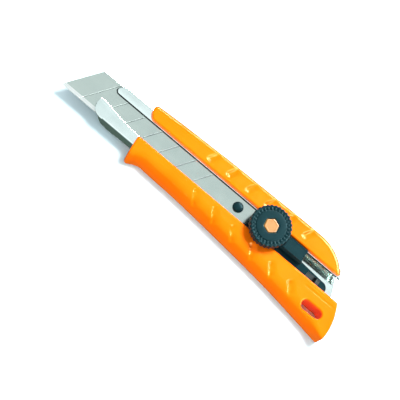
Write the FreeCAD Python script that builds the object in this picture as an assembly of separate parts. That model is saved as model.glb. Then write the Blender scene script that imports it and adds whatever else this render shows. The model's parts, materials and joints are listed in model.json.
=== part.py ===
import FreeCAD, Part
import math
import os
from FreeCAD import Vector

# A utility knife with an 18 mm snap-off blade, a folded steel sheath, a plastic
# handle and a slider that a thumb wheel clamps to the sheath's lips.
#
# Every shape is drawn in channel coordinates, in millimetres: +X runs along the
# channel to the blade's point, X = 0 is the heel of the cutting edge, Y = 0 is the
# blade's centre line with +Y on the cutting-edge side, and Z = 0 is the flat back of
# the handle. save() then moves each piece to the part frame, whose origin is the
# middle of the whole object's box, on the back face.

# Overall size
TIP_X = 100.0
TAIL_X = -62.0
SPINE_SIDE_Y = -15.2
EDGE_SIDE_Y = 23.2
ORIGIN_X = (TIP_X + TAIL_X) / 2
ORIGIN_Y = (SPINE_SIDE_Y + EDGE_SIDE_Y) / 2

# Blade: the standard heavy-duty snap-off size
BLADE_WIDTH = 18.0
BLADE_THICKNESS = 0.5
BLADE_LENGTH = 100.0
CUT_ANGLE = 59.0
SEGMENT_PITCH = 10.0
SCORE_LINES = 7
SCORE_WIDTH = 0.22
SCORE_DEPTH = 0.12
BEVEL_WIDTH = 1.8
BEVEL_DEPTH = 0.2
PEG_X = 4.0
PEG_HOLE_R = 2.65
PEG_R = 2.5
HALF_BLADE = BLADE_WIDTH / 2
SLANT = BLADE_WIDTH / math.tan(math.radians(CUT_ANGLE))

# Heights of the channel, from the back face up
SHEATH_T = 0.6
SHEATH_BOTTOM = 2.6
FLOOR_Z = SHEATH_BOTTOM + SHEATH_T
BLADE_Z = 8.3
BLADE_TOP = BLADE_Z + BLADE_THICKNESS
LIP_Z = 8.9
LIP_TOP = LIP_Z + SHEATH_T
HANDLE_TOP = 12.0

# Sheath, across the channel and at its nose
SHEATH_HALF = 9.8
CHANNEL_HALF = SHEATH_HALF - SHEATH_T
LIP_HALF = 4.5
SHEATH_FRONT_X = 82.7
TOE_X = 70.9
TOE_R = 10.9
TOE_TOP = 8.2
BELLY_Z = 1.6
BELLY_START_X = 61.0

# Handle
MOUTH_HALF = 5.2
MOUTH_EDGE_R = 0.8
HANDLE_FRONT_X = 60.5
SLOT_X = -50.1
SLOT_Y = 15.3
SLOT_LENGTH = 11.0
SLOT_WIDTH = 4.7
SCALLOP_PITCH = 11.7
SCALLOP_R = 4.5
SCALLOP_DEPTH = 0.6

# Slider and clamp
WHEEL_X = -12.3
WHEEL_R = 9.75
WHEEL_BOTTOM = 14.5
WHEEL_TOP = 19.3
WHEEL_RIDGES = 30
BOLT_R = 2.0
SEAT_TOP = 13.9
BLOCK_TOP = 15.6
CARRIER_BOTTOM = 3.5
CARRIER_BASE_TOP = 5.0
CARRIER_TOP = 8.2
PLATE_BOTTOM = 7.3
PLATE_TOP = 8.85
SPRING_T = 0.25
BUMP_R = 0.4
BUMP_Z = 14.75
BUMP_LENGTH = 1.8
TOOTH_R = 0.48
TEETH_IN = 4.9
TEETH_OUT = 7.1
NUT_FLATS = 7.0
NUT_BOTTOM = 15.0
NUT_TOP = 18.0
CAP_FLATS = 5.8
CAP_BOTTOM = 18.1
CAP_TOP = 19.25
CAP_TURN = 41.5
RIVET_X = -29.3
RIVET_Y = 2.4
RIVET_R = 0.9

# Running clearances between moving pieces
SIDE_PLAY = 0.5
CLAMP_PLAY = 0.3


# ---------------------------------------------------------------- drawing helpers

def block(x0, x1, y0, y1, z0, z1):
    return Part.makeBox(x1 - x0, y1 - y0, z1 - z0, Vector(x0, y0, z0))


def rod(x, y, z0, z1, radius):
    return Part.makeCylinder(radius, z1 - z0, Vector(x, y, z0))


def ring(x, y, z0, z1, inner, outer):
    return rod(x, y, z0, z1, outer).cut(rod(x, y, z0 - 1, z1 + 1, inner))


def outline(steps, place):
    """A closed wire. Each step is a point, or an (end, via) pair for an arc."""
    edges = []
    first = last = place(*steps[0])
    for step in steps[1:]:
        if isinstance(step[0], tuple):
            end = place(*step[0])
            edges.append(Part.Arc(last, place(*step[1]), end).toShape())
        else:
            end = place(*step)
            edges.append(Part.LineSegment(last, end).toShape())
        last = end
    if last.distanceToPoint(first) > 1e-6:
        edges.append(Part.LineSegment(last, first).toShape())
    return Part.Wire(edges)


def plan_prism(steps, z0, z1):
    """A plan outline in X and Y, raised from z0 to z1."""
    wire = outline(steps, lambda x, y: Vector(x, y, z0))
    return Part.Face(wire).extrude(Vector(0, 0, z1 - z0))


def side_prism(steps, y0, y1):
    """A side view in X and Z, drawn across from y0 to y1."""
    wire = outline(steps, lambda x, z: Vector(x, y0, z))
    return Part.Face(wire).extrude(Vector(0, y1 - y0, 0))


def cross_prism(steps, x0, x1):
    """A cross-section in Y and Z, drawn along from x0 to x1."""
    wire = outline(steps, lambda y, z: Vector(x0, y, z))
    return Part.Face(wire).extrude(Vector(x1 - x0, 0, 0))


def hexagon(z0, z1, across_flats, turn):
    """A hexagonal prism on the wheel's axis, its first corner turned from +X in degrees."""
    radius = across_flats / math.sqrt(3)
    corners = []
    for i in range(6):
        angle = math.radians(60 * i + turn)
        corners.append((WHEEL_X + radius * math.cos(angle), radius * math.sin(angle)))
    return plan_prism(corners, z0, z1)


def stadium(x, y, length, width, z0, z1):
    """A slot with round ends, lying along X."""
    half = (length - width) / 2
    r = width / 2
    steps = [(x - half, y - r), (x + half, y - r), ((x + half, y + r), (x + half + r, y)),
             (x - half, y + r), ((x - half, y - r), (x - half - r, y))]
    return plan_prism(steps, z0, z1)


def cut_line_x(y, shift=0.0):
    """X on the blade's rear end at a given Y, moved along by shift."""
    return -SLANT * (HALF_BLADE - y) / BLADE_WIDTH + shift


def tail_cut_x(y):
    """X of the sheath's slanting rear end at a given Y."""
    return -54.4 - 0.47 * y


# ---------------------------------------------------------------- blade and sheath

def snap_off_blade():
    corners = [(0, HALF_BLADE), (BLADE_LENGTH, HALF_BLADE),
               (BLADE_LENGTH - SLANT, -HALF_BLADE), (-SLANT, -HALF_BLADE)]
    blade = plan_prism(corners, BLADE_Z, BLADE_TOP)
    blade = blade.cut(rod(PEG_X, 0, BLADE_Z - 1, BLADE_TOP + 1, PEG_HOLE_R))
    inner = HALF_BLADE - BEVEL_WIDTH
    for face, toward in ((BLADE_TOP, -1), (BLADE_Z, 1)):
        wedge = [(inner, face), (HALF_BLADE + 1, face + toward * BEVEL_DEPTH * (1 + 1 / BEVEL_WIDTH)),
                 (HALF_BLADE + 1, face - toward), (inner, face - toward)]
        blade = blade.cut(cross_prism(wedge, -SLANT - 1, TIP_X + 1))
    for i in range(1, SCORE_LINES + 1):
        x = TIP_X - i * SEGMENT_PITCH
        groove = plan_prism([(x, HALF_BLADE + 1), (x + SCORE_WIDTH, HALF_BLADE + 1),
                             (x + SCORE_WIDTH - SLANT, -HALF_BLADE), (x - SLANT, -HALF_BLADE)],
                            BLADE_TOP - SCORE_DEPTH, BLADE_TOP + 1)
        blade = blade.cut(groove)
    return blade


def sheath_side(shrink, tail):
    """Side view of the sheath: a flat floor, a belly and a toe that turns up to the blade."""
    radius = TOE_R - shrink
    centre_z = BELLY_Z + TOE_R
    end_x = TOE_X + math.sqrt(radius ** 2 - (centre_z - TOE_TOP) ** 2)
    half = math.radians(45)
    via = (TOE_X + radius * math.sin(half), centre_z - radius * math.cos(half))
    top = LIP_TOP if shrink == 0 else LIP_Z
    return [(tail, SHEATH_BOTTOM + shrink), (BELLY_START_X, SHEATH_BOTTOM + shrink),
            (TOE_X, BELLY_Z + shrink), ((end_x, TOE_TOP), via),
            (SHEATH_FRONT_X + 1, TOE_TOP), (SHEATH_FRONT_X + 1, top), (tail, top)]


def blade_sheath():
    shell = side_prism(sheath_side(0, TAIL_X), -SHEATH_HALF, SHEATH_HALF)
    shell = shell.cut(side_prism(sheath_side(SHEATH_T, TAIL_X - 1), -CHANNEL_HALF, CHANNEL_HALF))
    mouth = [(TAIL_X - 1, -LIP_HALF), (77.6, -LIP_HALF), ((79.7, -6.3), (79.2, -5.1)),
             (SHEATH_FRONT_X + 2, -6.3), (SHEATH_FRONT_X + 2, 1.8), (79.0, 1.8),
             (70.0, 3.5), (60.0, LIP_HALF), (TAIL_X - 1, LIP_HALF)]
    shell = shell.cut(plan_prism(mouth, LIP_Z - 0.2, LIP_TOP + 1))
    keep = [(tail_cut_x(-SHEATH_HALF - 1), -SHEATH_HALF - 1), (76.3, -SHEATH_HALF - 1),
            (76.3, -SHEATH_HALF), ((79.7, -7.0), (78.8, -8.9)), (80.95, -6.3), (80.95, 1.8),
            (SHEATH_FRONT_X, 2.2), (SHEATH_FRONT_X, 4.6), ((79.0, SHEATH_HALF), (81.5, 7.4)),
            (79.0, SHEATH_HALF + 1), (tail_cut_x(SHEATH_HALF + 1), SHEATH_HALF + 1)]
    shell = shell.common(plan_prism(keep, 0, LIP_TOP + 1))
    long_edges = [e for e in shell.Edges
                  if e.Length > 100 and abs(e.CenterOfMass.z - LIP_TOP) < 0.01
                  and abs(abs(e.CenterOfMass.y) - SHEATH_HALF) < 0.01]
    return shell.makeFillet(0.5, long_edges)


# ---------------------------------------------------------------- handle

# Half-widths of the handle at stations along X: spine side, then cutting-edge side
STATIONS = [(62.0, 12.3, 15.2), (57.6, 12.5, 15.7), (54.6, 12.7, 15.4), (50.6, 12.9, 13.6),
            (46.0, 13.2, 13.5), (34.0, 13.8, 13.9), (18.0, 14.4, 14.7), (2.0, 14.8, 15.8),
            (-14.0, 15.1, 17.2), (-30.0, 15.2, 18.8), (-38.0, 15.0, 19.7), (-44.0, 13.4, 20.5),
            (-48.0, 11.2, 21.2), (-52.0, 8.0, 21.9), (-63.0, 7.0, 23.45)]


def handle_section(x, spine, edge):
    """Cross-section of the handle's outside, with a rounded spine side and a leaning,
    crowned side under the cutting edge. It runs a little past the flat back and top,
    where handle_body() trims it to true planes."""
    low = -0.4
    high = HANDLE_TOP + 0.2
    steps = [(-spine + 1.9, low), (edge - 2.4, low), ((edge, 2.6), (edge - 0.7, 0.9)),
             ((edge - 2.3, 10.5), (edge - 0.6, 6.8)), ((edge - 4.3, high), (edge - 3.0, 11.7)),
             (-spine + 3.0, high), ((-spine, high - 3.0), (-spine + 0.8, high - 1.0)),
             (-spine, 1.6), ((-spine + 1.9, low), (-spine + 0.5, 0.4))]
    return outline(steps, lambda y, z: Vector(x, y, z))


def handle_plan():
    """Plan outline that squares off the handle's two ends."""
    wide = 30
    return [(HANDLE_FRONT_X - 1.6, -wide), (HANDLE_FRONT_X - 1.6, -12.0),
            ((HANDLE_FRONT_X, -10.2), (HANDLE_FRONT_X - 0.5, -11.5)),
            (HANDLE_FRONT_X, -6.6), ((HANDLE_FRONT_X - 1.4, -MOUTH_HALF), (HANDLE_FRONT_X - 0.4, -5.6)),
            (58.7, MOUTH_HALF), (57.2, wide), (TAIL_X, wide), (TAIL_X, 23.0), (-61.2, 14.0),
            (-59.4, 8.6), ((-57.0, MOUTH_HALF), (-58.7, 6.3)), (-50.6, -4.7),
            ((-51.4, -6.8), (-51.5, -5.6)), ((-38.0, -wide), (-49.5, -13.0))]


def scallop(x, y, z, slope, depth_along):
    """A round tool for one grip scallop, lying across a rail and leaning with its side."""
    direction = Vector(-slope, math.copysign(1.0, y), -depth_along)
    start = Vector(x, y, z) - direction * 3
    return Part.makeCylinder(SCALLOP_R, direction.Length * 12, start, direction)


def grip_scallops():
    """A row of six along each rail; the lower rail's row follows the widening handle."""
    height = HANDLE_TOP + SCALLOP_R - SCALLOP_DEPTH
    tools = []
    for i in range(6):
        along = SCALLOP_PITCH * i
        tools.append(scallop(20.0 - along, 11.6 + 0.085 * along, height, 0.5, 0.75))
        tools.append(scallop(27.0 - along, -11.5, height, 0.5, 0.25))
    return tools


def handle_body():
    body = Part.makeLoft([handle_section(*s) for s in STATIONS], True, False)
    body = body.common(plan_prism(handle_plan(), 0, HANDLE_TOP))
    body = body.cut(block(TAIL_X - 5, HANDLE_FRONT_X + 5, -SHEATH_HALF, SHEATH_HALF,
                          SHEATH_BOTTOM, LIP_TOP))
    edge = MOUTH_HALF + MOUTH_EDGE_R
    low = HANDLE_TOP - MOUTH_EDGE_R
    lean = MOUTH_EDGE_R * (1 - math.sqrt(0.5))
    mouth = [(-MOUTH_HALF, LIP_TOP - 1), (MOUTH_HALF, LIP_TOP - 1), (MOUTH_HALF, low),
             ((edge, HANDLE_TOP), (MOUTH_HALF + lean, HANDLE_TOP - lean)),
             (edge, HANDLE_TOP + 1), (-edge, HANDLE_TOP + 1), (-edge, HANDLE_TOP),
             ((-MOUTH_HALF, low), (-MOUTH_HALF - lean, HANDLE_TOP - lean))]
    body = body.cut(cross_prism(mouth, TAIL_X - 5, HANDLE_FRONT_X + 5))
    body = body.cut(stadium(SLOT_X, SLOT_Y, SLOT_LENGTH, SLOT_WIDTH, -1, HANDLE_TOP + 1))
    for tool in grip_scallops():
        body = body.cut(tool)
    groove = Part.makeCylinder(1.2, 24, Vector(-65, 8.5, HANDLE_TOP + 0.8), Vector(1, 0, 0))
    return body.cut(groove)


# ---------------------------------------------------------------- slider

def blade_carrier():
    """Runs in the channel: a base under the clamp, a riser under the blade with the
    peg that holds it, and a springy arm toward the tail."""
    half = CHANNEL_HALF - SIDE_PLAY
    base = [(-33.5, -half), (7.0, -half), ((9.5, -6.0), (8.8, -7.9)), (9.5, 6.0),
            ((7.0, half), (8.8, 7.9)), (-33.5, half)]
    carrier = plan_prism(base, CARRIER_BOTTOM, CARRIER_BASE_TOP)
    riser = [(cut_line_x(-half, 1.0), -half), (7.0, -half), ((9.5, -6.0), (8.8, -7.9)),
             (9.5, 6.0), ((7.0, half), (8.8, 7.9)), (cut_line_x(half, 1.0), half)]
    carrier = carrier.fuse(plan_prism(riser, CARRIER_BASE_TOP, CARRIER_TOP))
    carrier = carrier.fuse(peg())
    arm = [(-33.0, -0.6), (-33.0, 7.4), (-46.0, 7.0), ((-50.6, 3.4), (-49.7, 5.9)),
           ((-47.0, 0.3), (-49.4, 1.0))]
    carrier = carrier.fuse(plan_prism(arm, CARRIER_BOTTOM, 6.2))
    for hole in rivet_holes(CARRIER_BOTTOM - 1, CARRIER_BASE_TOP + 1):
        carrier = carrier.cut(hole)
    return carrier.removeSplitter()


def peg():
    """Blade peg with a domed end."""
    shank = rod(PEG_X, 0, CARRIER_TOP - 0.2, 9.3, PEG_R)
    dome = Part.makeSphere(4.4, Vector(PEG_X, 0, 9.9 - 4.4))
    return rod(PEG_X, 0, CARRIER_TOP - 0.2, 9.9, PEG_R).common(dome.fuse(shank))


def rivet_holes(z0, z1):
    return [rod(RIVET_X, y, z0, z1, RIVET_R) for y in (-RIVET_Y, RIVET_Y)]


def carrier_rivets():
    """Two rivets from the carrier's underside into the slider body."""
    return Part.makeCompound(rivet_holes(CARRIER_BOTTOM + 0.1, CARRIER_TOP))


def slider_body():
    """Sits between the rails: a leg down to the carrier, shoulders on the lips, the
    wheel's round seat, and a block behind the wheel."""
    neck_half = LIP_HALF - CLAMP_PLAY
    shoulder_half = MOUTH_HALF - CLAMP_PLAY
    neck = [(-33.0, -neck_half), (cut_line_x(-neck_half, -CLAMP_PLAY), -neck_half),
            (cut_line_x(neck_half, -CLAMP_PLAY), neck_half), (-33.0, neck_half)]
    body = plan_prism(neck, LIP_Z, LIP_TOP + 0.1)
    shoulder = [(-33.0, -shoulder_half), (cut_line_x(-shoulder_half, -CLAMP_PLAY), -shoulder_half),
                (cut_line_x(shoulder_half, -CLAMP_PLAY), shoulder_half), (-33.0, shoulder_half)]
    body = body.fuse(plan_prism(shoulder, LIP_TOP + 0.05, 10.8))
    body = body.fuse(block(-33.0, -25.2, -neck_half, neck_half, CARRIER_BASE_TOP, LIP_TOP))
    body = body.fuse(rod(WHEEL_X, 0, 10.0, SEAT_TOP, 4.9))
    body = body.fuse(rod(WHEEL_X, 0, 12.5, SEAT_TOP, 7.2))
    lower = [(-31.0, -2.75), (WHEEL_X, -2.75), (WHEEL_X, 2.75), (-33.6, 2.75)]
    body = body.fuse(plan_prism(lower, 10.0, SEAT_TOP))
    upper = [(-30.6, -2.75), (-22.4, -2.75), (-22.4, 2.75), (-33.2, 2.75)]
    body = body.fuse(plan_prism(upper, SEAT_TOP - 0.1, BLOCK_TOP))
    body = body.cut(rod(WHEEL_X, 0, 0, SEAT_TOP + 1, BOLT_R + 0.1))
    for hole in rivet_holes(CARRIER_BASE_TOP - 1, CARRIER_TOP):
        body = body.cut(hole)
    return body.removeSplitter()


def tail_catch():
    """A steel clip on the tail arm, with a tongue bent up from it."""
    strip = block(-46.2, -39.0, 0.9, 4.4, 6.2, 6.5)
    tongue = side_prism([(-44.6, 6.4), (-42.6, 6.4), (-44.2, 7.9), (-44.5, 7.7)], 1.2, 3.6)
    return strip.fuse(tongue).removeSplitter()


# ---------------------------------------------------------------- clamp and wheel

def clamp_plate():
    """Lies under the lips behind the blade, its front edge parallel to the blade's end."""
    half = CHANNEL_HALF - CLAMP_PLAY
    corners = [(-24.6, -half), (cut_line_x(-half, -0.6), -half),
               (cut_line_x(half, -0.6), half), (-24.6, half)]
    plate = plan_prism(corners, PLATE_BOTTOM, PLATE_TOP)
    return plate.cut(rod(WHEEL_X, 0, 0, 20, BOLT_R))


def clamp_bolt():
    head = block(WHEEL_X - 3.5, WHEEL_X + 3.5, -3.5, 3.5, PLATE_BOTTOM - 1.6, PLATE_BOTTOM)
    return head.fuse(rod(WHEEL_X, 0, PLATE_BOTTOM - 0.5, 17.6, BOLT_R)).removeSplitter()


def thrust_washer():
    return ring(WHEEL_X, 0, SEAT_TOP, WHEEL_BOTTOM - 0.05, BOLT_R + 0.2, 4.6)


def click_spring():
    """A sprung ring with two bumps that sit in the valleys between the wheel's teeth."""
    spring = ring(WHEEL_X, 0, SEAT_TOP, SEAT_TOP + SPRING_T, TEETH_IN + 0.1, TEETH_OUT)
    for side in (-1, 1):
        start = WHEEL_X + side * (TEETH_IN + TEETH_OUT) / 2 - BUMP_LENGTH / 2
        post = block(start, start + BUMP_LENGTH, -BUMP_R, BUMP_R, SEAT_TOP, BUMP_Z)
        crown = Part.makeCylinder(BUMP_R, BUMP_LENGTH, Vector(start, 0, BUMP_Z), Vector(1, 0, 0))
        spring = spring.fuse(post).fuse(crown)
    return spring.removeSplitter()


def around_wheel(radius, tool_r, z0, z1):
    """Round tools spaced evenly about the wheel's axis."""
    tools = []
    for i in range(WHEEL_RIDGES):
        angle = 2 * math.pi * (i + 0.5) / WHEEL_RIDGES
        tools.append(rod(WHEEL_X + radius * math.cos(angle), radius * math.sin(angle),
                         z0, z1, tool_r))
    return Part.makeCompound(tools)


def wheel_profile():
    """Half section of the wheel in radius and height: a dished underside, a skirt and
    a raised middle inside a sloping ring."""
    recess = WHEEL_BOTTOM + 0.3
    return [(2.3, WHEEL_BOTTOM), (4.7, WHEEL_BOTTOM), (4.7, recess), (7.4, recess),
            (7.4, WHEEL_BOTTOM - 0.5), (WHEEL_R - 0.4, WHEEL_BOTTOM - 0.5),
            (WHEEL_R, WHEEL_BOTTOM - 0.1), (WHEEL_R, WHEEL_TOP - 1.3), (WHEEL_R - 0.6, WHEEL_TOP - 0.6),
            (7.2, WHEEL_TOP - 0.4), (7.0, WHEEL_TOP), (2.3, WHEEL_TOP)]


def lock_wheel():
    wire = outline(wheel_profile(), lambda r, z: Vector(WHEEL_X + r, 0, z))
    wheel = Part.Face(wire).revolve(Vector(WHEEL_X, 0, 0), Vector(0, 0, 1), 360)
    wheel = wheel.fuse(ring(WHEEL_X, 0, NUT_TOP, WHEEL_TOP, 0.5, 2.4))
    wheel = wheel.cut(around_wheel(WHEEL_R + 0.15, 0.5, WHEEL_BOTTOM - 1, WHEEL_TOP))
    wheel = wheel.cut(hexagon(NUT_BOTTOM, NUT_TOP, NUT_FLATS, 30))
    wheel = wheel.cut(hexagon(NUT_TOP - 0.5, WHEEL_TOP + 1, CAP_FLATS, CAP_TURN))
    teeth = []
    for i in range(WHEEL_RIDGES // 2):
        angle = 2 * math.pi * i / WHEEL_RIDGES
        direction = Vector(math.cos(angle), math.sin(angle), 0)
        start = Vector(WHEEL_X, 0, BUMP_Z)
        for way in (-1, 1):
            teeth.append(Part.makeCylinder(TOOTH_R, TEETH_OUT - TEETH_IN,
                                           start + direction * (way * TEETH_IN), direction * way))
    return wheel.cut(Part.makeCompound(teeth)).removeSplitter()


def nut_insert():
    nut = hexagon(NUT_BOTTOM, NUT_TOP, NUT_FLATS, 30)
    return nut.cut(rod(WHEEL_X, 0, 0, 30, BOLT_R + 0.05))


def hex_cap():
    return hexagon(CAP_BOTTOM, CAP_TOP, CAP_FLATS, CAP_TURN)


# ---------------------------------------------------------------- output

PIECES = [handle_body, blade_sheath, snap_off_blade, slider_body, blade_carrier,
          carrier_rivets, tail_catch, clamp_plate, clamp_bolt, thrust_washer,
          click_spring, lock_wheel, nut_insert, hex_cap]


def save(make):
    shape = make()
    shape.translate(Vector(-ORIGIN_X, -ORIGIN_Y, 0))
    shape.exportStep("parts/" + make.__name__ + ".step")
    box = shape.BoundBox
    print("%-16s solids %d valid %s volume %8.1f  X %6.2f %6.2f  Y %6.2f %6.2f  Z %5.2f %5.2f" % (
        make.__name__, len(shape.Solids), shape.isValid(), shape.Volume,
        box.XMin, box.XMax, box.YMin, box.YMax, box.ZMin, box.ZMax))


os.makedirs("parts", exist_ok=True)
for piece in PIECES:
    save(piece)
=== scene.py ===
# A utility knife with a snap-off blade, a steel sheath, an orange plastic handle and a
# black slider locked by a thumb wheel.
#
# Shapes are drawn in channel coordinates in millimetres: +X to the blade's point,
# Y = 0 on the blade's centre line with +Y on the cutting-edge side, Z = 0 at the back.
# to_frame() moves them to the part frame in metres.

import json
import math

import bmesh
import bpy
import numpy as np
from mathutils import Matrix, Vector


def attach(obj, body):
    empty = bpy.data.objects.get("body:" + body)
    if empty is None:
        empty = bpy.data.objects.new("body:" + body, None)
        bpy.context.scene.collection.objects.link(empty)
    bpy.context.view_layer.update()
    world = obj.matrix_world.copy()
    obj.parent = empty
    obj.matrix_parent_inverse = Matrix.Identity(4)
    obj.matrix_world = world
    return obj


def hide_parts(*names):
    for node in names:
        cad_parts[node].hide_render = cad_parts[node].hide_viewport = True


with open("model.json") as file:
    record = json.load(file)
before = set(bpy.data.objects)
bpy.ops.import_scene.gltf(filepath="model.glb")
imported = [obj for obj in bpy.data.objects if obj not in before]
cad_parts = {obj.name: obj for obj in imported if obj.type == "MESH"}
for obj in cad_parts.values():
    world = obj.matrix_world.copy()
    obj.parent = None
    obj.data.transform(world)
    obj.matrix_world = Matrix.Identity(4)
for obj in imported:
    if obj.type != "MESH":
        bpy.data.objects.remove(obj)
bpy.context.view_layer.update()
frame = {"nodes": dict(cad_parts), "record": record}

ORIGIN = (19.0, 4.0, 0.0)
MM = 0.001

# The peg that holds the blade, and the wheel's axis
PEG_X = 4.0
WHEEL_X = -12.3


# ---------------------------------------------------------------- drawing helpers

def to_frame(points):
    """Channel millimetres to part-frame metres."""
    return (np.asarray(points, dtype=float) - ORIGIN) * MM


def make_piece(name, points, faces, material, body, replaced, smooth_angle=40):
    """A mesh piece from points in channel millimetres, standing for a CAD node if one is
    named."""
    mesh = bpy.data.meshes.new(name)
    mesh.from_pydata(to_frame(points).tolist(), [], [list(map(int, f)) for f in faces])
    mesh.validate()
    mesh.materials.append(material)
    piece = bpy.data.objects.new(name, mesh)
    bpy.context.scene.collection.objects.link(piece)
    work = bmesh.new()
    work.from_mesh(mesh)
    bmesh.ops.recalc_face_normals(work, faces=work.faces)
    for face in work.faces:
        face.smooth = True
    for edge in work.edges:
        if len(edge.link_faces) == 2 and edge.calc_face_angle(0) > math.radians(smooth_angle):
            edge.smooth = False
    work.to_mesh(mesh)
    work.free()
    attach(piece, body)
    if replaced:
        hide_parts(replaced)
    return piece


def smooth_curve(points):
    """A smooth function through (x, y) points, held flat past both ends."""
    xs, ys = np.array(sorted(points), dtype=float).T
    slopes = np.gradient(ys, xs)

    def value(x):
        x = np.clip(x, xs[0], xs[-1])
        i = np.clip(np.searchsorted(xs, x) - 1, 0, len(xs) - 2)
        span = xs[i + 1] - xs[i]
        t = (x - xs[i]) / span
        return ((1 + 2 * t) * (1 - t) ** 2 * ys[i] + t * (1 - t) ** 2 * span * slopes[i]
                + t * t * (3 - 2 * t) * ys[i + 1] + t * t * (t - 1) * span * slopes[i + 1])

    return value


def smooth_step(value, low, high):
    """0 below low, 1 above high and an S-curve between them."""
    t = np.clip((value - low) / (high - low), 0, 1)
    return t * t * (3 - 2 * t)


def both(a, b, radius):
    """Inside both shapes, with the edge where they meet rounded to a radius."""
    corner = np.hypot(np.maximum(a + radius, 0), np.maximum(b + radius, 0))
    return np.minimum(np.maximum(a, b), -radius) + corner


def surface_of(field, axes):
    """Quads on the surface where field(x, y, z) is zero; the field is negative inside.
    axes holds the sampling positions along X, Y and Z, which may be unevenly spaced."""
    value = field(axes[0][:, None, None], axes[1][None, :, None], axes[2][None, None, :])
    inside = value < 0
    cells = tuple(n - 1 for n in value.shape)
    total = np.zeros(cells + (3,))
    count = np.zeros(cells)
    corners = [(i, j, k) for i in (0, 1) for j in (0, 1) for k in (0, 1)]
    for start in corners:
        for axis in range(3):
            if start[axis]:
                continue
            end = tuple(c + (a == axis) for a, c in enumerate(start))
            from_slice = tuple(slice(c, c + n) for c, n in zip(start, cells))
            to_slice = tuple(slice(c, c + n) for c, n in zip(end, cells))
            crossed = inside[from_slice] != inside[to_slice]
            first = value[from_slice]
            step = first - value[to_slice]
            t = np.where(crossed, first / np.where(step == 0, 1, step), 0)
            for a in range(3):
                total[..., a] += np.where(crossed, start[a] + (t if a == axis else 0), 0)
            count += crossed
    active = np.argwhere(count > 0)
    index = -np.ones(cells, dtype=int)
    index[tuple(active.T)] = np.arange(len(active))
    share = total[tuple(active.T)] / count[tuple(active.T)][:, None]
    points = np.stack([axis[at] + part * np.diff(axis)[at]
                       for axis, at, part in zip(axes, active.T, share.T)], axis=1)
    faces = []
    for axis in range(3):
        u, v = [a for a in range(3) if a != axis]
        lower = [slice(None)] * 3
        lower[axis] = slice(0, -1)
        upper = [slice(None)] * 3
        upper[axis] = slice(1, None)
        edges = np.argwhere(inside[tuple(lower)] != inside[tuple(upper)])
        edges = edges[(edges[:, u] > 0) & (edges[:, v] > 0)]
        edges = edges[(edges[:, u] < cells[u]) & (edges[:, v] < cells[v])]
        quad = []
        for du, dv in ((-1, -1), (0, -1), (0, 0), (-1, 0)):
            near = edges.copy()
            near[:, u] += du
            near[:, v] += dv
            quad.append(index[tuple(near.T)])
        faces.append(np.stack(quad, axis=1))
    for _ in range(3):
        points -= step_to_surface(field, points)
    return points, np.concatenate(faces)


def step_to_surface(field, points):
    """How far each point stands off the zero surface of the field, as a short step."""
    nudge = 0.015
    longest = 0.15
    here = field(*points.T)
    slope = np.stack([(field(*(points + nudge * way).T) - here) / nudge for way in np.eye(3)],
                     axis=1)
    size = np.maximum((slope ** 2).sum(axis=1), 0.2)
    step = slope * (here / size)[:, None]
    return np.clip(step, -longest, longest)


# ---------------------------------------------------------------- materials

def colour_ramp(nodes, links, factor, stops):
    """Colours at positions along a factor: (position, (red, green, blue))."""
    node = nodes.new("ShaderNodeValToRGB")
    elements = node.color_ramp.elements
    for i, (position, shade) in enumerate(stops):
        element = elements[i] if i < 2 else elements.new(position)
        element.position = position
        element.color = (*shade, 1)
    links.new(factor, node.inputs["Fac"])
    return node.outputs["Color"]


class Shader:
    """Builds one procedural material, with textures in millimetres."""

    def __init__(self, name):
        self.material = bpy.data.materials.new(name)
        self.material.use_nodes = True
        self.nodes = self.material.node_tree.nodes
        self.links = self.material.node_tree.links
        self.surface = self.nodes["Principled BSDF"]
        self.place = self.nodes.new("ShaderNodeTexCoord").outputs["Object"]

    def set(self, **values):
        """Constants on the surface; an underscore stands for a space in the input's name."""
        for name, value in values.items():
            self.surface.inputs[name.replace("_", " ")].default_value = value

    def noise(self, per_mm, detail=2.0, stretch=(1, 1, 1), roughness=0.5):
        """Noise with so many features per millimetre, squeezed along each axis."""
        mapping = self.nodes.new("ShaderNodeMapping")
        mapping.inputs["Scale"].default_value = [s * per_mm / MM for s in stretch]
        self.links.new(self.place, mapping.inputs["Vector"])
        texture = self.nodes.new("ShaderNodeTexNoise")
        texture.inputs["Scale"].default_value = 1.0
        texture.inputs["Detail"].default_value = detail
        texture.inputs["Roughness"].default_value = roughness
        self.links.new(mapping.outputs["Vector"], texture.inputs["Vector"])
        return texture.outputs["Fac"]

    def base_colour(self, factor, dark, light):
        """Blends two shades over a factor's middle range into the surface's colour."""
        shades = colour_ramp(self.nodes, self.links, factor, [(0.3, dark), (0.7, light)])
        self.feed("Base Color", shades)

    def spread(self, factor, low, high):
        """A factor's middle range turned into values from low to high."""
        node = self.nodes.new("ShaderNodeMapRange")
        node.inputs["From Min"].default_value = 0.3
        node.inputs["From Max"].default_value = 0.7
        node.inputs["To Min"].default_value = low
        node.inputs["To Max"].default_value = high
        self.links.new(factor, node.inputs["Value"])
        return node.outputs["Result"]

    def bump(self, height, strength, depth_mm):
        """A surface direction disturbed by a height."""
        node = self.nodes.new("ShaderNodeBump")
        node.inputs["Strength"].default_value = strength
        node.inputs["Distance"].default_value = depth_mm * MM
        self.links.new(height, node.inputs["Height"])
        return node.outputs["Normal"]

    def feed(self, name, output):
        """Connects a texture's output to one of the surface's inputs."""
        self.links.new(output, self.surface.inputs[name])


def handle_plastic():
    """Glossy orange plastic with slow waves in its surface."""
    shader = Shader("handle_plastic")
    shader.base_colour(shader.noise(0.08, 3), (1.0, 0.158, 0.001), (1.0, 0.178, 0.002))
    shader.feed("Roughness", shader.spread(shader.noise(0.6, 4), 0.15, 0.23))
    shader.feed("Normal", shader.bump(shader.noise(0.9, 3), 0.12, 0.05))
    shader.set(IOR=1.45, Specular_Tint=(1.0, 0.65, 0.2, 1), Specular_IOR_Level=0.3)
    return shader.material


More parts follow.
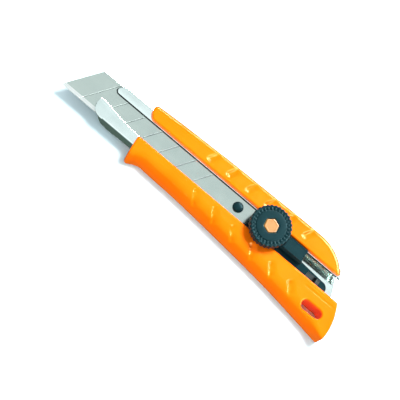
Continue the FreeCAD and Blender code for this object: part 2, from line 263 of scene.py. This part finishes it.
def brushed(name, dark, light, rough, grain=0.15):
    """Steel with fine lines along the knife."""
    shader = Shader(name)
    lines = shader.noise(3.0, 4, stretch=(0.02, 1, 1))
    shader.base_colour(shader.noise(0.15, 3), dark, light)
    shader.feed("Roughness", shader.spread(lines, *rough))
    shader.feed("Normal", shader.bump(lines, grain, 0.01))
    shader.set(Metallic=1.0)
    return shader.material


def black_plastic(name, rough, grain):
    """Satin black plastic with a fine moulded texture."""
    shader = Shader(name)
    shader.base_colour(shader.noise(0.2, 3), (0.004, 0.017, 0.021), (0.006, 0.023, 0.028))
    shader.feed("Roughness", shader.spread(shader.noise(1.0, 4), *rough))
    shader.feed("Normal", shader.bump(shader.noise(grain, 3), 0.2, 0.04))
    shader.set(Specular_Tint=(0.4, 0.9, 1.0, 1), Specular_IOR_Level=0.08)
    return shader.material


def cap_plastic():
    """Pale orange matt plastic."""
    shader = Shader("cap_plastic")
    shader.base_colour(shader.noise(0.5, 3), (0.36, 0.158, 0.034), (0.385, 0.172, 0.040))
    shader.feed("Roughness", shader.spread(shader.noise(1.0, 3), 0.35, 0.5))
    shader.feed("Normal", shader.bump(shader.noise(2.0, 3), 0.15, 0.03))
    return shader.material


def brass():
    """Turned brass."""
    shader = Shader("nut_brass")
    shader.base_colour(shader.noise(0.5, 3), (0.62, 0.40, 0.13), (0.75, 0.52, 0.20))
    shader.feed("Roughness", shader.spread(shader.noise(1.5, 3), 0.25, 0.4))
    shader.feed("Normal", shader.bump(shader.noise(3.0, 2), 0.1, 0.02))
    shader.set(Metallic=1.0)
    return shader.material


def floor_material():
    """Plain pale card."""
    shader = Shader("floor_white")
    shader.base_colour(shader.noise(0.01, 2), (0.70, 0.86, 0.92), (0.72, 0.88, 0.94))
    shader.set(Roughness=0.9)
    return shader.material


# ---------------------------------------------------------------- handle

HANDLE_TOP = 12.0
MOUTH_HALF = 5.2
CHANNEL_HALF = 9.85
CHANNEL_LOW = 2.57
CHANNEL_HIGH = 9.53
SLOT_X = -50.1
SLOT_Y = 15.3
SLOT_HALF = 3.15
SLOT_R = 2.35
SCALLOP_DEPTH = 1.05
SCALLOPS = 6
GROOVE_Y = 8.5
GROOVE_HALF = 0.9
GROOVE_DEPTH = 0.28
HANDLE_CELL = 0.46

# The outline seen from above: the two long sides against X, then the two ends against Y
SPINE_SIDE = smooth_curve([(60, 12.2), (48, 13.0), (32, 13.7), (16, 14.3), (0, 14.6),
                           (-12, 14.9), (-24, 15.1), (-36, 15.1), (-52, 15.1)])
EDGE_SIDE = smooth_curve([(61, 15.2), (57.6, 15.8), (55.5, 15.8), (53, 14.4), (50, 13.35),
                          (46, 13.4), (40, 13.6), (30, 13.9), (18, 14.6), (2, 15.8),
                          (-14, 17.1), (-30, 18.7), (-46, 20.8), (-62, 23.15)])
FRONT_END = smooth_curve([(-16, 60.3), (-6.8, 60.5), (-5.0, 58.9), (5.0, 58.7), (7, 58.5),
                          (16, 57.1)])
TAIL_END = smooth_curve([(-16, -51.4), (-6.8, -51.4), (-4.7, -50.6), (5.2, -57.6), (8.6, -59.3),
                         (14, -61.2), (18, -61.9), (24, -62.0)])


def handle_field(x, y, z):
    """Signed distance to the handle, in millimetres and negative inside."""
    at_tail = 1 - smooth_step(x, -62, -50)
    # The edge side leans inward toward the top, and is nearly upright at the tail.
    lean = (3.5 - 3.2 * at_tail) * (np.maximum(z - 2.6, 0) / 9.4) ** 2.2
    # The narrow rail ends in a wide arc.
    tail_round = np.hypot(x + 33.5, y - 6.9) - 22.0
    spine = np.maximum(-y - SPINE_SIDE(x), np.where((x < -33.5) & (y < -4.7), tail_round, -99))
    edge = (y - EDGE_SIDE(x) + lean) * 0.93
    body = both(spine, z - HANDLE_TOP, 2.6)
    body = both(body, edge, 2.2 - 1.2 * at_tail)
    body = both(body, -z, 1.3)
    body = both(body, x - FRONT_END(y), 1.2)
    body = both(body, (TAIL_END(y) - x) * 0.9, 0.45)
    # The gap between the rails, the sheath's channel below it and the lanyard slot.
    mouth = np.maximum(np.abs(y) - MOUTH_HALF, CHANNEL_HIGH - 1 - z)
    body = both(body, -mouth, 0.8)
    channel = np.maximum(np.maximum(np.abs(y) - CHANNEL_HALF, z - CHANNEL_HIGH), CHANNEL_LOW - z)
    body = both(body, -channel, 0.15)
    slot_along = np.maximum(np.abs(x - SLOT_X) - SLOT_HALF, 0)
    slot = np.hypot(slot_along, y - SLOT_Y) - SLOT_R
    body = both(body, -slot, 0.6)
    return body + scallops(x, y, z) + tail_groove(x, y, z)


def scallops(x, y, z):
    """Depth of the grip scallops: a steep wall at the front of each, then a long ramp."""
    depth = 0
    upper_side = smooth_step(z, 3.0, 6.0)
    for i in range(SCALLOPS):
        wide_rail = one_scallop(x, y, (24.9 - 11.7 * i, 8.4 + 0.9 * i),
                                (21.2 - 11.7 * i, 13.2 + 0.75 * i), 4.2)
        narrow_rail = one_scallop(x, y, (29.2 - 11.0 * i, -8.4 - 0.2 * i),
                                  (26.8 - 11.0 * i, -12.6 - 0.2 * i), 4.0)
        depth = depth + upper_side * ((0.7 + 0.08 * i) * wide_rail + narrow_rail)
    return SCALLOP_DEPTH * depth


def one_scallop(x, y, top, bottom, width):
    """Relative depth, 0 to 1, of a scallop whose front edge runs from top to bottom."""
    run = Vector(bottom) - Vector(top)
    length = run.length
    run.normalize()
    tailward = Vector((run.y, -run.x))
    if tailward.x > 0:
        tailward.negate()
    along = (x - top[0]) * run.x + (y - top[1]) * run.y
    across = (x - top[0]) * tailward.x + (y - top[1]) * tailward.y
    steep = smooth_step(across, -0.3, 1.2)
    ramp = 1 - smooth_step(across, 1.0, width)
    ends = smooth_step(along, -1.2, 0.8) * (1 - smooth_step(along, length - 1.0, length + 1.6))
    return steep * ramp * ends


def tail_groove(x, y, z):
    """Depth of the shallow groove along the tail of the wide rail."""
    reach = (1 - smooth_step(x, -43.0, -40.0)) * smooth_step(x, -60.0, -55.0)
    across = 1 - smooth_step(np.abs(y - GROOVE_Y), 0, GROOVE_HALF)
    return GROOVE_DEPTH * reach * across * (z > HANDLE_TOP / 2)


def make_handle(material):
    """Both rails, the floor between them and the tail, in one moulding."""
    limits = ((-63, 61.8), (-16.5, 24.4), (-0.9, 13.1))
    axes = [np.arange(low, high, HANDLE_CELL) for low, high in limits]
    points, faces = surface_of(handle_field, axes)
    make_piece("handle", points, faces, material, "handle", "handle_body", 60)


# ---------------------------------------------------------------- sheath

SHEATH_T = 0.6
LIP_TOP = 9.5
TOE_X = 70.9
TOE_R = 10.9
TOE_Z = 12.5
NOSE_X = 75.6
MOUTH_Y = -4.5
FINE_CELL = 0.28
EDGE_LIP_INNER = smooth_curve([(50, 4.55), (60, 4.5), (66, 4.0), (70, 3.5), (75, 2.6), (79, 1.9),
                               (83, 1.9)])


def sheath_outside(x, y, z):
    """Distance outside the closed hull that the folded sheet follows."""
    spine_corner = np.hypot(np.maximum(x - NOSE_X, 0), np.maximum(-y - 5.3, 0)) - 4.5
    edge_corner = np.hypot(np.maximum(x - NOSE_X, 0), np.maximum(y - 4.6, 0)) - 5.2
    sides = np.maximum(spine_corner, edge_corner)
    belly = np.interp(x, (61, TOE_X), (2.6, 1.6)) - z
    toe = np.hypot(np.maximum(x - TOE_X, 0), np.minimum(z - TOE_Z, 0)) - TOE_R
    bottom = np.maximum(belly, toe)
    hull = both(sides, bottom, 0.9)
    return both(hull, z - lip_height(x, y), 0.7)


def lip_height(x, y):
    """The lips bow slightly; the edge-side one is pressed down toward the blade."""
    spine_bow = 0.12 * np.clip((y + 7.0) / 2.6, -1, 1) ** 2
    pressed = 0.28 * smooth_step(x, 60, 72) * (1 - smooth_step(y, EDGE_LIP_INNER(x), 8.5))
    return LIP_TOP - np.where(y < 0, spine_bow, pressed)


def sheath_field(x, y, z):
    """Signed distance to the folded sheet: a shell, a tongue at the nose on the edge side,
    and the opening between the lips taken out."""
    outside = sheath_outside(x, y, z)
    shell = np.maximum(outside, -(outside + SHEATH_T))
    middle = lip_height(x, y) - SHEATH_T / 2
    tongue = both(np.hypot(np.maximum(x - 77.5, 0), np.maximum(y - 4.6, 0)) - 5.2,
                  np.abs(z - middle) - SHEATH_T / 2, 0.15)
    tongue = np.maximum(tongue, np.maximum(76 - x, 1 - y))
    shell = np.minimum(shell, tongue)
    # The cut edge of the lip on the spine side slopes, so it shows from above; it carries the
    # painted shade of the gap under the lip.
    spine_lip = both(y - MOUTH_Y, x - 79.7, 1.9) + 0.8 * (z - 9.2)
    edge_lip = EDGE_LIP_INNER(x) - y
    mouth = np.minimum(np.minimum(spine_lip, edge_lip), z - 8.2)
    shell = both(shell, mouth, np.where(y > 0, 0.29, 0.15))
    return np.maximum(shell, (-54.4 - 0.47 * y - x) * 0.9)


def make_sheath(material, lip_shade_material):
    """The sheet is sampled finely at both ends and coarsely along its straight middle."""
    along = np.concatenate([np.arange(-60.5, -46, 0.33), np.arange(-46, 56, 1.7),
                            np.arange(56, 84, 0.25)])
    axes = [along, np.arange(-10.4, 10.6, FINE_CELL), np.arange(1.0, 10.2, FINE_CELL)]
    points, faces = surface_of(sheath_field, axes)
    sheath = make_piece("sheath", points, faces, material, "handle", "blade_sheath",
                        50)
    # The sloped cut edge of the spine-side lip gets near-black steel: painted shade and dark
    # reflection for the gap between lip and blade.
    sheath.data.materials.append(lip_shade_material)
    for face in sheath.data.polygons:
        middle = face.center / MM + Vector(ORIGIN)
        outward = max(face.normal.y, face.normal.x)
        if outward > 0.3 and -6.5 < middle.y < -4.1 and 8.8 < middle.z < 9.42:
            face.material_index = 1


# ---------------------------------------------------------------- blade

BLADE_LENGTH = 100.0
HALF_BLADE = 9.0
BLADE_LOW = 8.3
BLADE_TOP = 8.8
SLANT = 1 / math.tan(math.radians(59))
SEGMENT_PITCH = 10.0
SCORE_LINES = 7
SCORE_HALF = 0.26
SCORE_DEPTH = 0.2
BEVEL_Y = 7.25


def make_blade(material, bevel_material, groove_shade_material):
    """A grid in rows along the blade; every row follows the slant of the score lines."""
    across = [(-8.9, 0.08), (-8.75, 0.0), (7.2, 0.0), (7.35, 0.02), (8.93, 0.2)]
    rows = [(0.0, 0.08), (0.1, 0.0)]
    for i in range(SCORE_LINES, 0, -1):
        x = BLADE_LENGTH - i * SEGMENT_PITCH
        rows += [(x - SCORE_HALF, 0.0), (x, SCORE_DEPTH), (x + SCORE_HALF, 0.0)]
    rows += [(BLADE_LENGTH - 0.1, 0.0), (BLADE_LENGTH, 0.08)]
    points = []
    for x, sunk in rows:
        loop = [(-HALF_BLADE, BLADE_TOP - 0.18)]
        loop += [(y, BLADE_TOP - max(sunk, drop)) for y, drop in across]
        loop += [(HALF_BLADE, BLADE_TOP - 0.24), (HALF_BLADE, BLADE_LOW + 0.24)]
        loop += [(y, BLADE_LOW + drop) for y, drop in reversed(across)]
        loop += [(-HALF_BLADE, BLADE_LOW + 0.18)]
        points += [(x - SLANT * (HALF_BLADE - y), y, z) for y, z in loop]
    ring = len(points) // len(rows)
    faces = [tuple(range(ring)), tuple(range(len(points) - ring, len(points)))]
    for i in range(len(rows) - 1):
        for j in range(ring):
            k = (j + 1) % ring
            faces.append((i * ring + j, i * ring + k, (i + 1) * ring + k, (i + 1) * ring + j))
    blade = make_piece("blade", points, faces, material, "slider", "snap_off_blade",
                       2)
    cut_hole(blade, (PEG_X, 0.0), 2.62, (BLADE_LOW - 1, BLADE_TOP + 1))
    blade.data.materials.append(bevel_material)
    blade.data.materials.append(groove_shade_material)
    for face in blade.data.polygons:
        # Faces on the walls of the score lines get dark steel: painted shade and dark reflection
        # in the grooves.
        middle = face.center / MM + Vector(ORIGIN)
        along = middle.x + SLANT * (HALF_BLADE - middle.y)
        if middle.y > BEVEL_Y:
            face.material_index = 1
        elif abs(face.normal.x) > 0.3 and 1 < along < BLADE_LENGTH - 1:
            face.material_index = 2


def cut_hole(piece, centre, radius, heights):
    """Takes a round hole out of a piece."""
    work = bmesh.new()
    depth = heights[1] - heights[0]
    middle = to_frame((*centre, sum(heights) / 2))
    bmesh.ops.create_cone(work, cap_ends=True, segments=64, radius1=radius * MM,
                          radius2=radius * MM, depth=depth * MM,
                          matrix=Matrix.Translation(middle))
    mesh = bpy.data.meshes.new("drill")
    work.to_mesh(mesh)
    work.free()
    drill = bpy.data.objects.new("drill", mesh)
    bpy.context.scene.collection.objects.link(drill)
    modifier = piece.modifiers.new("hole", "BOOLEAN")
    modifier.object = drill
    modifier.operation = "DIFFERENCE"
    bpy.context.view_layer.update()
    shaped = piece.evaluated_get(bpy.context.evaluated_depsgraph_get())
    cut_mesh = bpy.data.meshes.new_from_object(shaped)
    piece.modifiers.clear()
    piece.data = cut_mesh
    bpy.data.objects.remove(drill)


# ---------------------------------------------------------------- wheel and cap

WHEEL_R = 9.75
WHEEL_TOP = 19.3
WHEEL_RIDGES = 30
NOTCH_DEPTH = 0.42
CAP_FLATS = 5.95
HOLE_FLATS = 6.6
CAP_TURN = math.radians(41.5)


def hexagon_radius(angle, flats):
    """Distance from the middle to the side of the cap's hexagon, at each angle."""
    turned = (angle - CAP_TURN) % (math.pi / 3) - math.pi / 6
    return flats / 2 / np.cos(turned)


def turned_piece(rings, steps):
    """Quads between rings of points; every ring has the same number of points."""
    faces = []
    for i in range(len(rings) - 1):
        for j in range(steps):
            k = (j + 1) % steps
            faces.append((i * steps + j, i * steps + k, (i + 1) * steps + k, (i + 1) * steps + j))
    return np.concatenate(rings), faces


def ring_about(centre_x, reach, level, angle):
    """One ring of points about a vertical axis at centre_x on the centre line."""
    return np.stack([centre_x + reach * np.cos(angle), reach * np.sin(angle),
                     np.full(len(angle), level)], axis=1)


def make_wheel(material):
    """A flat top with a ring of ribs inside a notched rim, over a ridged skirt."""
    steps = WHEEL_RIDGES * 14
    angle = np.arange(steps) * 2 * math.pi / steps
    notch = (1 + np.cos(WHEEL_RIDGES * angle)) / 2
    hexagon = hexagon_radius(angle, HOLE_FLATS)
    top = WHEEL_TOP - 0.05
    # radius (None for the hexagonal hole), height, and the notches' share inward and down
    hole = [(None, 18.0, 0, 0), (None, WHEEL_TOP - 0.15, 0, 0)]
    flat_top = [(3.95, WHEEL_TOP - 0.02, 0, 0), (4.5, WHEEL_TOP, 0, 0), (6.7, WHEEL_TOP, 0, 0),
                (6.95, WHEEL_TOP - 0.08, 0, 0), (7.05, WHEEL_TOP - 0.45, 0, 0),
                (7.15, WHEEL_TOP - 0.5, 0, 0)]
    ribs = [(7.3, top - 0.08, 0, 0.5), (7.45, top, 0, 0.55), (8.3, top, 0, 0.55),
            (8.4, top - 0.08, 0, 0.4), (8.5, top - 0.3, 0, 0), (8.65, top - 0.25, 0, 0)]
    rim = [(8.75, top, 0, 0.05), (9.0, top, 0.1, 0.1), (9.4, top - 0.02, 0.5, 0.15),
           (9.62, top - 0.12, 0.9, 0.15), (WHEEL_R, top - 0.35, 1, 0.1)]
    skirt = [(WHEEL_R, 17.6, 1, 0), (WHEEL_R, 16.0, 1, 0), (9.7, 15.1, 0.9, 0),
             (9.5, 14.85, 0.8, 0), (9.2, 14.7, 0.5, 0), (8.8, 14.65, 0, 0)]
    underside = [(7.4, 14.65, 0, 0), (7.4, 14.8, 0, 0), (4.7, 14.8, 0, 0), (4.7, 14.5, 0, 0),
                 (2.3, 14.5, 0, 0), (2.3, 17.9, 0, 0)]
    rings = []
    for radius, height, side_share, top_share in hole + flat_top + ribs + rim + skirt + underside:
        reach = hexagon if radius is None else radius
        reach = reach - NOTCH_DEPTH * side_share * notch
        level = height - top_share * notch
        rings.append(ring_about(WHEEL_X, reach, level, angle))
    rings.append(rings[0])
    points, faces = turned_piece(rings, steps)
    make_piece("wheel", points, faces, material, "wheel", "lock_wheel", 35)


def make_cap(material):
    """A hexagonal cap with a raised border."""
    steps = 96
    angle = np.arange(steps) * 2 * math.pi / steps
    rings = []
    for inset, height in ((0, 18.1), (0, 19.0), (0.1, 19.17), (0.3, 19.24), (1.2, 19.24),
                          (1.5, 19.08), (3.0, 19.08), (CAP_FLATS - 0.02, 19.08)):
        reach = hexagon_radius(angle, CAP_FLATS - inset)
        rings.append(ring_about(WHEEL_X, reach, height, angle))
    rings.insert(0, rings[0] * (0, 0, 1) + (WHEEL_X, 0, 0))
    points, faces = turned_piece(rings, steps)
    make_piece("cap", points, faces, material, "wheel", "hex_cap", 40)


def make_peg(material):
    """The domed head of the peg that holds the blade."""
    steps = 64
    angle = np.arange(steps) * 2 * math.pi / steps
    rings = []
    for radius, height in ((0.02, 8.3), (2.45, 8.3), (2.5, 9.0), (2.42, 9.4), (2.2, 9.8),
                           (1.8, 10.2), (1.2, 10.5), (0.6, 10.65), (0.02, 10.7)):
        rings.append(ring_about(PEG_X, radius, height, angle))
    points, faces = turned_piece(rings, steps)
    make_piece("peg", points, faces, material, "slider", None, 50)


# ---------------------------------------------------------------- stage, light, camera

LIGHT_DISTANCE = 0.6
WHITE = (1.0, 1.0, 1.0)


def make_floor():
    """A pale floor, just under the knife's back so that the two don't coincide."""
    size = 1.5
    mesh = bpy.data.meshes.new("floor")
    mesh.from_pydata([(-size, -size, 0), (size, -size, 0), (size, size, 0), (-size, size, 0)],
                     [], [(0, 1, 2, 3)])
    mesh.materials.append(floor_material())
    floor = bpy.data.objects.new("floor", mesh)
    floor.location.z = -0.00005
    floor.visible_glossy = False
    floor.visible_diffuse = False
    bpy.context.scene.collection.objects.link(floor)


def add_light(name, toward, size, power, colour, kind):
    """A soft rectangular light in a direction from the object, facing it. A "matt" light
    isn't reflected, and a "shine" light is only reflected."""
    data = bpy.data.lights.new(name, "AREA")
    data.shape = "RECTANGLE"
    data.size, data.size_y = size
    data.energy = power
    data.color = colour
    light = bpy.data.objects.new(name, data)
    direction = Vector(toward).normalized()
    light.location = direction * LIGHT_DISTANCE
    light.rotation_euler = direction.to_track_quat("Z", "Y").to_euler()
    light.visible_glossy = kind == "shine"
    light.visible_diffuse = kind == "matt"
    light.visible_camera = False
    bpy.context.scene.collection.objects.link(light)


def make_world():
    """A sky that darkens toward the horizon for light and reflections, seen as plain and
    pale behind the object."""
    world = bpy.data.worlds.new("studio")
    world.use_nodes = True
    bpy.context.scene.world = world
    nodes = world.node_tree.nodes
    links = world.node_tree.links
    direction = nodes.new("ShaderNodeTexCoord")
    split = nodes.new("ShaderNodeSeparateXYZ")
    links.new(direction.outputs["Generated"], split.inputs["Vector"])
    sky = colour_ramp(nodes, links, split.outputs["Z"], [
        (0.0, (0.09, 0.13, 0.11)), (0.3, (0.14, 0.18, 0.17)), (0.6, (0.45, 0.52, 0.55)),
        (0.85, (0.80, 0.88, 0.90)), (0.95, (0.92, 0.98, 1.0)), (1.0, (1.2, 1.28, 1.3))])
    path = nodes.new("ShaderNodeLightPath")
    backdrop = nodes.new("ShaderNodeMix")
    backdrop.data_type = "RGBA"
    backdrop.inputs["B"].default_value = (0.93, 0.97, 0.98, 1)
    links.new(path.outputs["Is Camera Ray"], backdrop.inputs["Factor"])
    links.new(sky, backdrop.inputs["A"])
    links.new(backdrop.outputs["Result"], nodes["Background"].inputs["Color"])


def make_camera():
    """Above the cutting-edge side, looking down at the knife."""
    data = bpy.data.cameras.new("camera")
    data.lens = 117
    data.sensor_width = 36
    camera = bpy.data.objects.new("camera", data)
    right = Vector((-0.76474775, -0.6092449, 0.20971772))
    up = Vector((0.64425532, -0.72797047, 0.23450816))
    back = right.cross(up)
    turn = Matrix((right, up, back)).transposed().to_4x4()
    camera.matrix_world = Matrix.Translation((0.005894, 0.187987, 0.561323)) @ turn
    bpy.context.scene.collection.objects.link(camera)
    bpy.context.scene.camera = camera
    bpy.context.scene.view_settings.view_transform = "Standard"


# ---------------------------------------------------------------- the whole scene

looks = {
    "handle_plastic": handle_plastic(),
    "sheath_steel": brushed("sheath_steel", (0.76, 0.87, 0.84), (0.86, 0.96, 0.93), (0.07, 0.15)),
    "blade_steel": brushed("blade_steel", (0.52, 0.60, 0.56), (0.56, 0.64, 0.595), (0.12, 0.2),
                           grain=0.06),
    "slider_plastic": black_plastic("slider_plastic", (0.3, 0.42), 2.5),
    "wheel_plastic": black_plastic("wheel_plastic", (0.34, 0.46), 2.0),
    "cap_plastic": cap_plastic(),
    "spring_steel": brushed("spring_steel", (0.05, 0.06, 0.06), (0.09, 0.10, 0.10), (0.25, 0.35)),
    "plain_steel": brushed("plain_steel", (0.42, 0.46, 0.46), (0.5, 0.54, 0.54), (0.3, 0.42)),
    "nut_brass": brass(),
}
for part in frame["record"]["subparts"]:
    node = frame["nodes"][part["node"]]
    node.data.materials.clear()
    node.data.materials.append(looks[part["material_slot"]])

make_handle(looks["handle_plastic"])
# Near-black steel for the spine lip's cut edge, painted to show the shade and dark reflection in
# the gap between lip and blade.
lip_edge_painted_shade = brushed("lip_edge_painted_shade", (0.03, 0.04, 0.04), (0.06, 0.07, 0.07), (0.4, 0.5))
ground_bevel = brushed("ground_bevel", (0.66, 0.70, 0.68), (0.72, 0.75, 0.73), (0.22, 0.3))
# Dark steel for the score-line walls, painted to show the shade and dark reflection in the
# grooves.
score_groove_shade = brushed("score_groove_shade", (0.10, 0.12, 0.12), (0.14, 0.17, 0.16), (0.45, 0.55))
make_sheath(looks["sheath_steel"], lip_edge_painted_shade)
make_blade(looks["blade_steel"], ground_bevel, score_groove_shade)
make_wheel(looks["wheel_plastic"])
make_cap(looks["cap_plastic"])
make_peg(looks["slider_plastic"])

make_floor()
make_world()
add_light("key", (-0.15, -0.42, 1.0), (0.18, 0.18), 6.6, (1.0, 0.97, 0.94), "matt")
add_light("fill", (0.1, 1.0, 0.22), (0.4, 0.1), 3.0, WHITE, "matt")
add_light("strip", (-0.1, -1.0, 0.4), (0.7, 0.14), 14.0, WHITE, "shine")
add_light("side", (-0.55, -0.7, 0.36), (0.45, 0.3), 18.0, WHITE, "shine")
add_light("end", (-0.8, 0.08, 0.6), (0.3, 0.3), 12.0, WHITE, "shine")
make_camera()
